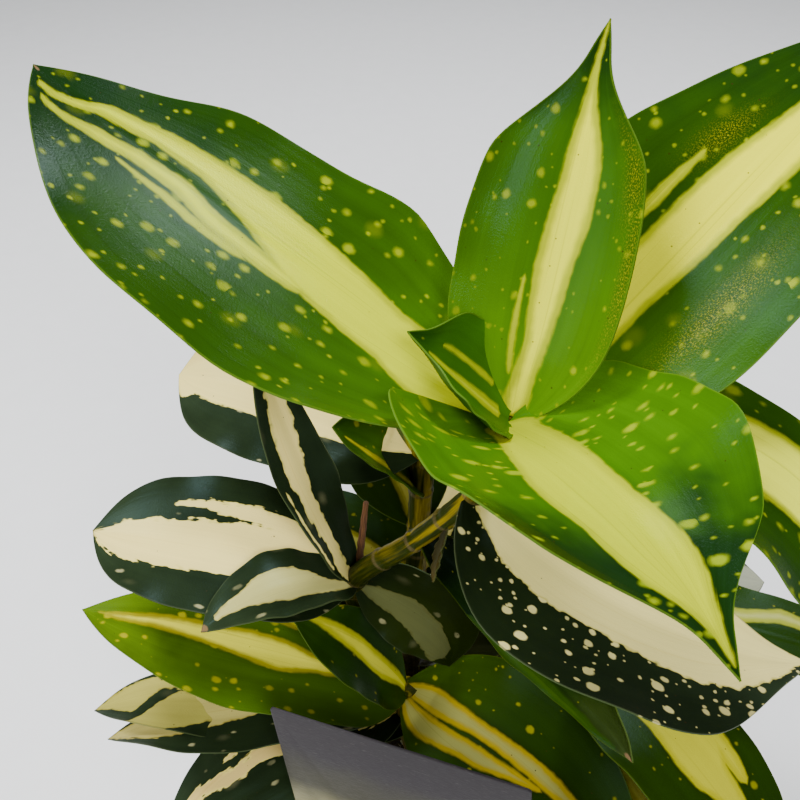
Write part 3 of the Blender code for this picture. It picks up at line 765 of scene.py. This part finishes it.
blade("head_furled_blade", "head", 5,
      dict(base=(27, -16, 291), azimuth=180, rise=47, length=37, width=36, droop=0, roll=-10, curl=50,
           wave=0.5, waves=1, phase=0, full=4, drip=0.5, rows=40, columns=24),
      [[(0.1, -0.1, 0.2), (0.4, -0.05, 0.15), (0.8, 0, 0.1)],
       [(0.2, -0.4, -0.3), (0.7, -0.35, -0.28)]],
      dict(LIME, base=(60, 106, 6), middle=(46, 92, 6), tip=(24, 60, 6), turn=(0.2, 0.6, 0.9),
           layers=((6, 0.15, 0.4, 0.3, 0.3, 0.6),)))
blade("head_far_right_blade", "head", 6,
      dict(base=(30, -16, 280), azimuth=-11, rise=32, length=121, width=50, droop=130, swing=-40, wave=2),
      [[(0, -0.4, 0.5), (0.3, -0.2, 0.6), (0.5, -0.2, 0.68), (0.6, -0.2, 0.7), (0.8, -0.2, 0.5),
        (0.95, -0.1, 0.2)]], dict(FRESH, band=(236, 240, 60)))
blade("head_low_blade", "head", 7,
      dict(base=(20, -14, 262), azimuth=-52, rise=-14, length=104, width=54, droop=8, swing=65,
           lopsided=-0.25, wave=2, full=2.4, drip=0.4),
      [[(0, -0.2, 1), (0.1, -0.3, 1.1), (0.2, -0.36, 1.2), (0.4, -0.33, 1.2), (0.5, -0.37, 1.2),
        (0.6, -0.42, 1.2), (0.7, -0.5, 1.2), (0.8, -0.65, 1.2), (0.87, -0.72, 1.2), (0.95, -0.6, 1.2),
        (1, -1.1, 1.2)]], SPECKED)

# The leaves half way up the tall cane, and a narrow one on its slanting part.
blade("middle_upright_blade", "head", 10,
      dict(base=(-15, 10, 197), azimuth=-177, rise=76, length=96, width=20, droop=10, power=1, swing=-60,
           roll=-20, lopsided=0.15, curl=25),
      [[(0, -0.1, 0.9), (0.1, 0.1, 0.85), (0.2, 0.05, 0.5), (0.4, 0.06, 0.55), (0.5, 0, 0.57),
        (0.6, -0.15, 0.56), (0.7, -0.35, 0.55), (0.8, -0.5, 0.5), (0.97, -0.3, 0.3)],
       [(0.15, 0.8, 0.9), (0.3, 0.78, 0.9), (0.5, 0.8, 0.86)]], dict(OLD, shine=0.035))
blade("middle_left_blade", "head", 11,
      dict(base=(-15, 10, 197), azimuth=180, rise=23, length=89, width=50, droop=30, swing=-10, roll=-10,
           blunt=4.5),
      [[(0, -0.4, 0.4), (0.1, -0.25, 0.15), (0.2, -0.5, 0.2), (0.3, -0.5, 0.27), (0.4, -0.45, 0.32),
        (0.5, -0.39, 0.4), (0.7, -0.3, 0.45), (0.8, -0.3, 0.5), (0.9, -0.3, 0.55), (0.99, -0.1, 0.7)],
       [(0.15, -0.55, -0.35), (0.3, -0.67, -0.42), (0.5, -0.67, -0.47), (0.6, -0.64, -0.5),
        (0.72, -0.6, -0.52)]], dict(OLD, torn=2.2, tooth=1.2))
blade("middle_folded_blade", "head", 12,
      dict(base=(-15, 10, 197), azimuth=-152, rise=37, length=58, width=27, droop=60, swing=10, wave=1),
      [[(0, -0.2, 0.6), (0.1, 0.1, 0.56), (0.2, 0, 0.53), (0.3, -0.3, 0.56), (0.4, -0.47, 0.53),
        (0.5, -0.53, 0.5), (0.6, -0.53, 0.42), (0.7, -0.36, 0.32), (0.8, -0.33, 0.2), (0.9, -0.29, 0.1)]],
      dict(OLD, band=(178, 172, 104), edge=(160, 150, 80)), dry=[(0, 1, 1.5, 0.05)])
# This blade lies in shade: its greens and its cream band are set dark, painted shade.
blade("middle_short_blade", "head", 17,
      dict(base=(-15, 10, 199), azimuth=-26, rise=-10, length=58, width=30, droop=95, swing=36, roll=68,
           curl=10, wave=1),
      [[(0.05, -0.4, -0.1), (0.1, -0.42, -0.02), (0.2, -0.44, 0.09), (0.3, -0.44, 0.16), (0.4, -0.49, 0.16),
        (0.5, -0.56, 0.09), (0.6, -0.65, 0.06), (0.7, -0.76, 0), (0.83, -0.95, -0.02)]],
      dict(OLD, band=(90, 94, 54), edge=(86, 88, 46), middle=(30, 40, 8), tip=(26, 36, 8)))
# This blade lies deep under its neighbours: its near-black base is painted shade, and the green band along
# one margin is painted light on the margin turned to the lamps.
blade("middle_narrow_blade", "head", 18,
      dict(base=(6, -5, 236), azimuth=-29, rise=-31, length=90, width=33, droop=0, swing=-16, roll=75,
           lopsided=0.45, curl=45, wave=1),
      [[(0.3, -1.1, -0.9), (0.4, -1.1, -0.62), (0.5, -1.1, -0.5), (0.8, -1.1, -0.5), (0.93, -1.1, -0.6)]],
      dict(SHADED, base=(6, 12, 3), middle=(22, 44, 5), tip=(44, 58, 20), edge=(36, 62, 5),
           band=(50, 78, 6), layers=((5, 0.15, 0.4, 0.25, 0.25, 0.6),)), dry=[(-0.2, 1, 0.9, 0.05)])

# A dry sheath, all that is left of a dropped leaf, hangs from the slanting part of the tall cane.
WITHERED = dict(OLD, base=(30, 28, 8), middle=(54, 48, 16), tip=(78, 66, 28), layers=(), rim=(60, 50, 24))
blade("dry_sheath", "head", 25,
      dict(base=(13.4, -12.6, 248), azimuth=-150, rise=-76, length=22, width=3.8, droop=6, curl=60,
           wave=0.3, blunt=5, rows=24, columns=12),
      [], WITHERED)

# The short cane in front: two young blades over three old ones, and one broad blade to the right.
blade("low_left_blade", "low", 13,
      dict(base=(2, 0, 150), azimuth=-174, rise=27, length=117, width=48, droop=24, swing=-20, full=4),
      [[(0, -0.4, 0.4), (0.2, -0.2, 0.1), (0.3, -0.2, 0.11), (0.4, -0.33, 0.22), (0.5, -0.34, 0.15),
        (0.6, -0.31, 0.07), (0.7, -0.34, 0.02), (0.8, -0.33, 0), (0.9, -0.26, 0.07), (0.95, -0.2, -0.1)],
       [(0.36, -0.66, -0.5), (0.42, -0.72, -0.56), (0.5, -0.74, -0.62), (0.7, -0.82, -0.72)]],
      # Its middle and tip greens and its band are set lighter than the shaded look's: painted light for the
      # fuller light on this blade.
      dict(SHADED, base=(56, 84, 8), middle=(64, 94, 6), tip=(84, 114, 6), band=(236, 230, 66),
           layers=((7, 0.4, 1.4, 0.6, 0.5, 0.95), (5, 0.15, 0.4, 0.25, 0.25, 0.6)), fleck=(176, 170, 6)))
blade("low_young_blade", "low", 14,
      dict(base=(2, 0, 150), azimuth=-157, rise=63, length=61, width=30, droop=26, swing=-25, roll=-22,
           curl=20, wave=1, waves=1),
      [[(0, -0.6, 0.5), (0.1, -0.37, 0.17), (0.2, -0.29, 0.22), (0.3, -0.29, 0.25), (0.4, -0.3, 0.21),
        (0.5, -0.37, 0.12), (0.6, -0.39, 0.03), (0.7, -0.43, -0.03), (0.8, -0.49, -0.12),
        (0.9, -0.64, -0.32), (0.97, -1, -0.66)]],
      dict(SHADED, base=(34, 56, 4), middle=(24, 46, 4), tip=(34, 60, 6), edge=(170, 168, 10), shine=0.03))
blade("low_back_left_blade", "low", 15,
      dict(base=(4, -3, 130), azimuth=-178, rise=25, length=124, width=34, droop=60, swing=-10),
      [[(0.8, -0.9, -0.05), (0.83, -0.9, 0.5), (0.88, -0.9, 0.48), (0.95, -0.9, 0.3), (1, -1.1, 0.2)],
       [(0, -0.1, 0.2), (0.4, 0.15, 0.3), (0.5, 0.2, 0.45), (0.6, 0, 0.64), (0.7, -0.2, 1),
        (0.76, 0.1, 1.3), (0.8, 0.7, 1.3)]], dict(OLD, band=(164, 156, 74), edge=(152, 142, 60), torn=0.6))
blade("low_mid_left_blade", "low", 16,
      dict(base=(2, 0, 146), azimuth=-162, rise=11, length=116, width=32, droop=50, swing=-30,
           lopsided=-0.1, drip=0.3),
      [[(0, -0.8, 0), (0.45, -1.2, 0), (0.6, -1.2, 0.22), (0.7, -1.2, 0.4), (0.8, -0.98, 0.58),
        (0.9, -0.72, 0.66), (0.97, -0.9, 0.8), (1, -1.1, 1.1)]],
      dict(OLD, band=(176, 164, 92), edge=(160, 146, 66)))
blade("low_front_left_blade", "low", 19,
      dict(base=(2, 0, 138), azimuth=-144, rise=4, length=107, width=42, droop=55, swing=-26,
           lopsided=-0.45),
      [[(0, -0.3, 0.1), (0.45, -0.45, -0.23), (0.5, -0.44, -0.25), (0.6, -0.42, -0.23), (0.7, -0.5, -0.3),
        (0.8, -0.6, -0.42), (0.95, -0.5, -0.4)],
       [(0.4, -0.62, -0.55), (0.5, -0.63, -0.56), (0.65, -0.6, -0.52)]],
      dict(OLD, torn=1.8, band=(212, 186, 110)))
blade("low_right_blade", "low", 20,
      dict(base=(2, 0, 150), azimuth=-37, rise=15, length=103, width=50, droop=30, swing=-20, roll=20),
      [[(0, -0.3, 0.4), (0.1, -0.22, 0.3), (0.2, -0.18, 0.17), (0.3, -0.12, 0.12), (0.4, -0.1, 0.12),
        (0.5, -0.1, 0.15), (0.6, -0.1, 0.17), (0.9, 0, 0.1)],
       [(0, -0.9, -0.3), (0.1, -0.8, -0.26), (0.2, -0.6, -0.24), (0.3, -0.48, -0.2), (0.4, -0.44, -0.18),
        (0.5, -0.3, -0.14), (0.6, -0.16, -0.1)]],
      dict(SHADED, base=(44, 66, 6), middle=(28, 48, 5), tip=(26, 44, 6), edge=(156, 134, 2),
           band=(146, 144, 74)))

# The cane at the back, hidden but for three blades.
blade("back_left_blade", "back", 9,
      dict(base=(8, 40, 228), azimuth=163, rise=20, length=91, width=55, roll=-20, wave=2, blunt=5),
      [[(0, -0.3, 0.3), (0.2, -0.36, 0.36), (0.45, -0.5, 0.42), (0.7, -0.56, 0.4), (0.9, -0.64, 0.42),
        (0.95, -1.2, 0.9), (1, -1.2, 1.2)]], OLD)
blade("back_bud_blade", "back", 21,
      dict(base=(7, 42, 208), azimuth=-152, rise=63, length=48, width=26, droop=30, swing=-20, roll=-20,
           curl=40, wave=0.5, waves=1, blunt=4, rows=44, columns=24),
      [[(0.2, 0.2, 0.5), (0.6, 0.25, 0.5), (0.9, 0.2, 0.3)]], dict(SHADED, middle=(56, 90, 6)))
blade("back_small_blade", "back", 22,
      dict(base=(7, 42, 212), azimuth=-139, rise=78, length=43, width=20, droop=10, curl=30, wave=0.5,
           waves=1, rows=44, columns=24),
      [[(0.1, -0.2, 0.2), (0.5, -0.2, 0.25), (0.9, -0.1, 0.1)]], SHADED)

# The cane on the right, with a striped blade and a greyish one.
blade("right_striped_blade", "right", 8,
      dict(base=(58, 14, 187), azimuth=-20, rise=9, length=114, width=32, droop=20),
      [[(0, -0.3, 0.3), (0.4, 0, 0.35), (0.5, 0.1, 0.42), (0.6, 0.33, 0.7), (0.8, 0.2, 0.5),
        (0.95, 0, 0.2)]],
      dict(SHADED, band=(178, 180, 96), edge=(158, 162, 40), base=(40, 66, 4), middle=(32, 56, 4),
           tip=(28, 48, 6), shine=0.03), dry=[(-0.36, 0.55, 0.14, 0.03)])
blade("right_grey_blade", "right", 23,
      dict(base=(58, 14, 190), azimuth=1, rise=8, length=67, width=34, droop=20, blunt=3.5),
      [[(0, -0.8, 0.8), (0.4, -1.2, 0.7), (0.9, -1.2, 0.8), (1, -1.2, 1.2)]],
      dict(OLD, band=(150, 152, 132), edge=(140, 142, 116)))

# An old leaf that has withered hangs low down on the same cane, in the shade; its near-black greens are
# painted shade, a dark piece filling the gap between the lower leaves.
blade("painted_shade_withered_blade", "right", 26,
      dict(base=(43, 24, 142), azimuth=168, rise=-8, length=46, width=24, droop=62, curl=40, wave=1.4,
           rows=36, columns=20),
      [], dict(WITHERED, base=(16, 22, 5), middle=(26, 28, 8), tip=(50, 42, 18)))

# The cane at the front right, with one broad blade.
blade("front_broad_blade", "front", 24,
      dict(base=(62, -5, 178), azimuth=-50, rise=5, length=90, width=44, droop=40, swing=-10,
           lopsided=-0.1),
      [[(0, -0.3, 0.3), (0.2, -0.26, 0.3), (0.35, -0.22, 0.5), (0.5, -0.3, 0.62), (0.55, -0.3, 0.5),
        (0.6, -0.28, 0.34), (0.7, -0.1, 0.31), (0.8, 0.05, 0.15)],
       [(0.35, 0.2, 0.62), (0.5, 0.34, 0.66), (0.6, 0.35, 0.62), (0.66, 0.38, 0.56)]],
      dict(SHADED, base=(30, 50, 4), middle=(28, 48, 4), tip=(22, 40, 7), edge=(158, 154, 6),
           band=(172, 168, 34)))

# Leaves round the canes that the rosettes hide from the front: azimuth, height and rise of each.
RINGS = dict(back=([(58, 228, 18), (92, 224, 24), (122, 220, 10), (104, 188, 8), (146, 160, 4),
                    (72, 158, 6)], 7),
             right=([(34, 172, 16), (72, 150, 8), (26, 126, 2)], 9),
             front=([(-70, 150, 10), (-38, 130, 0)], 11),
             head=([(160, 146, 6)], 3))
RING_BANDS = [[(0.0, -0.4, 0.4), (0.15, -0.22, 0.2), (0.45, -0.34, 0.24), (0.7, -0.3, 0.14),
               (0.95, -0.12, 0.02)], [(0.3, 0.4, 0.46), (0.5, 0.42, 0.5), (0.8, 0.3, 0.34)]]
COARSE_STEPS = 3
for stem, (ring, seed) in RINGS.items():
    draw = random.Random(seed)
    path, _ = smooth_path(CANES[stem], COARSE_STEPS)
    for index, (azimuth, height, rise) in enumerate(ring):
        form = dict(base=place_at(height, path[:, 2], path), azimuth=azimuth, rise=rise,
                    length=draw.randint(84, 108), width=draw.randint(40, 50), droop=draw.randint(30, 44),
                    swing=draw.randint(-10, 10), roll=draw.randint(-8, 8), phase=draw.randint(0, 9) / 10,
                    rows=52, columns=24)
        number = 30 + 7 * seed + index
        lean = 0.12 * math.sin(2.3 * number)
        bands = [[(mark, lean + low, lean + high) for mark, low, high in band] for band in RING_BANDS]
        # Two in three ring blades take the darker look, its colours painted shade.
        look = OLD if number % 3 == 0 else PAINTED_SHADE_RING_LOOK
        blade(f"{stem}_ring_blade_{index}", stem, number, form, bands, look)


# The plant label
# A stiff plastic card on a pointed stake, stamped from one sheet and pushed into the soil. Its
# face is bare: a dull purplish grey at the top that pales to cream lower down.
LABEL_CORNER = (-39, -35, 193)
LABEL_HEADING = -22
LABEL_LEAN = 5
LABEL_WIDTH = 81.0
LABEL_HEIGHT = 56.0
LABEL_THICKNESS = 0.8
LABEL_ROUND = 1.2
STAKE_WIDTH = 12.0
STAKE_TIP = 64.0
STAKE_SHIFT = -22.0
CORNER_STEPS = 6
EDGE_WIDTH = 0.18


def rounded_corner(x, z, start):
    """Points of a quarter circle about a middle, from a start angle on, in degrees."""
    angles = [math.radians(start + 90 * step / CORNER_STEPS) for step in range(CORNER_STEPS + 1)]
    return [(x + LABEL_ROUND * math.cos(angle), z + LABEL_ROUND * math.sin(angle)) for angle in angles]


stake_middle = LABEL_WIDTH / 2 + STAKE_SHIFT
stake_half = STAKE_WIDTH / 2
stake = [(-stake_half - 2, 0), (-stake_half - 0.6, -0.6), (-stake_half, -2), (-stake_half, 10 - STAKE_TIP),
         (-1, 0.8 - STAKE_TIP), (0, -STAKE_TIP)]
stake += [(-x, z) for x, z in reversed(stake[:-1])]
card = rounded_corner(LABEL_WIDTH - LABEL_ROUND, -LABEL_ROUND, 0)
card += rounded_corner(LABEL_ROUND, -LABEL_ROUND, 90)
card += rounded_corner(LABEL_ROUND, LABEL_ROUND - LABEL_HEIGHT, 180)
card += [(stake_middle + x, z - LABEL_HEIGHT) for x, z in stake]
card += rounded_corner(LABEL_WIDTH - LABEL_ROUND, LABEL_ROUND - LABEL_HEIGHT, 270)
bpy.ops.mesh.primitive_circle_add(vertices=len(card), radius=MM, fill_type="NGON")
label = bpy.context.object
label.name = label.data.name = "plant_label_card"
for vertex, (x, z) in zip(label.data.vertices, card):
    vertex.co = (x * MM, 0, z * MM)
finish_modifier(label, "SOLIDIFY", thickness=LABEL_THICKNESS * MM, offset=0.0)
finish_modifier(label, "BEVEL", width=EDGE_WIDTH * MM, segments=2, limit_method="ANGLE",
                angle_limit=math.radians(60))
bpy.ops.object.mode_set(mode="EDIT")
faces_out()
carry(label.data, "card_place", *np.transpose([vertex.co / MM for vertex in label.data.vertices]))
label.data.transform(Matrix.Translation(Vector(LABEL_CORNER) * MM)
                     @ Matrix.Rotation(math.radians(LABEL_HEADING), 4, "Z")
                     @ Matrix.Rotation(math.radians(-LABEL_LEAN), 4, "Y"))
smooth(label, 30)

card_face, tree, shader = tree_of("label_card")
place = attribute(tree, "card_place")
_, _, down = parts_of(place)
clouds = grain(place, (0.05, 0.05, 0.05), 3)
scuffs = grain(place, (0.35, 3.0, 2.4), 4)
fade = calc("ADD", down, swing(clouds, 14.0))
face = mixed(ease(fade, -16.0, -36.0), tone(38, 34, 37), tone(52, 50, 36))
face = mixed(ease(fade, -36.0, -54.0), face, tone(130, 126, 88))
face = mixed(ease(scuffs, 0.58, 0.72, 0.0, 0.06), face, tone(190, 184, 182))
face = mixed(ease(down, -56.5, -57.5), face, tone(180, 176, 160))
coat(shader, face, ease(scuffs, 0.35, 0.7, 0.46, 0.6),
     calc("ADD", swing(scuffs, 0.05), swing(clouds, 0.2)), shine=0.2)
dress(label, card_face, "plant_label")


# The studio
# A plain white floor and soft lights: two high behind, one in front and a broad one on the left.
bpy.ops.mesh.primitive_plane_add(size=8.0, location=(0, 0, 0))
floor = bpy.context.object
floor.name = "studio_floor"
paper, tree, shader = tree_of("white_paper")
place = own_place(tree)
fibre = grain(place, (60, 60, 60), 3)
coat(shader, mixed(fibre, (0.9, 0.9, 0.9, 1.0), (0.94, 0.94, 0.94, 1.0)),
     ease(fibre, 0.3, 0.7, 0.8, 0.95))
floor.data.materials.append(paper)


def soft_light(name, place, target, size, power, colour):
    """A square light that faces its target."""
    bpy.ops.object.light_add(type="AREA", location=place)
    lamp = bpy.context.object
    lamp.name = name
    lamp.data.size = size
    lamp.data.energy = power
    lamp.data.color = colour
    lamp.rotation_euler = (Vector(target) - Vector(place)).to_track_quat("-Z", "Y").to_euler()


soft_light("overhead_light", (-0.54, 0.25, 1.4), (0, 0, 0.25), 0.36, 16.0, (0.96, 0.98, 1.0))
soft_light("right_light", (0.41, 0.75, 1.21), (0, 0, 0.25), 0.3, 13.0, (0.96, 0.98, 1.0))
soft_light("front_light", (0.3, -0.95, 1.1), (0, 0, 0.2), 0.35, 12.0, (0.97, 0.985, 1.0))
soft_light("left_fill", (-0.8, -0.55, 0.85), (0, 0, 0.2), 0.7, 11.0, (1.0, 0.99, 0.98))
world = bpy.data.worlds.new("studio_air")
bpy.context.scene.world = world
world.use_nodes = True
air = world.node_tree.nodes["Background"].inputs
air["Color"].default_value = (0.95, 0.97, 1.0, 1.0)
air["Strength"].default_value = 0.22

# The photograph looks 40 degrees down along +Y, from in front of and above the plant.
bpy.ops.object.camera_add(location=(0, -0.198, 0.45), rotation=(math.radians(50), 0, 0))
camera = bpy.context.object
camera.name = "photograph_view"
camera.data.sensor_width = 36.0
camera.data.lens = 43.47
camera.data.clip_start = 0.005
camera.data.clip_end = 20.0
bpy.context.scene.camera = camera
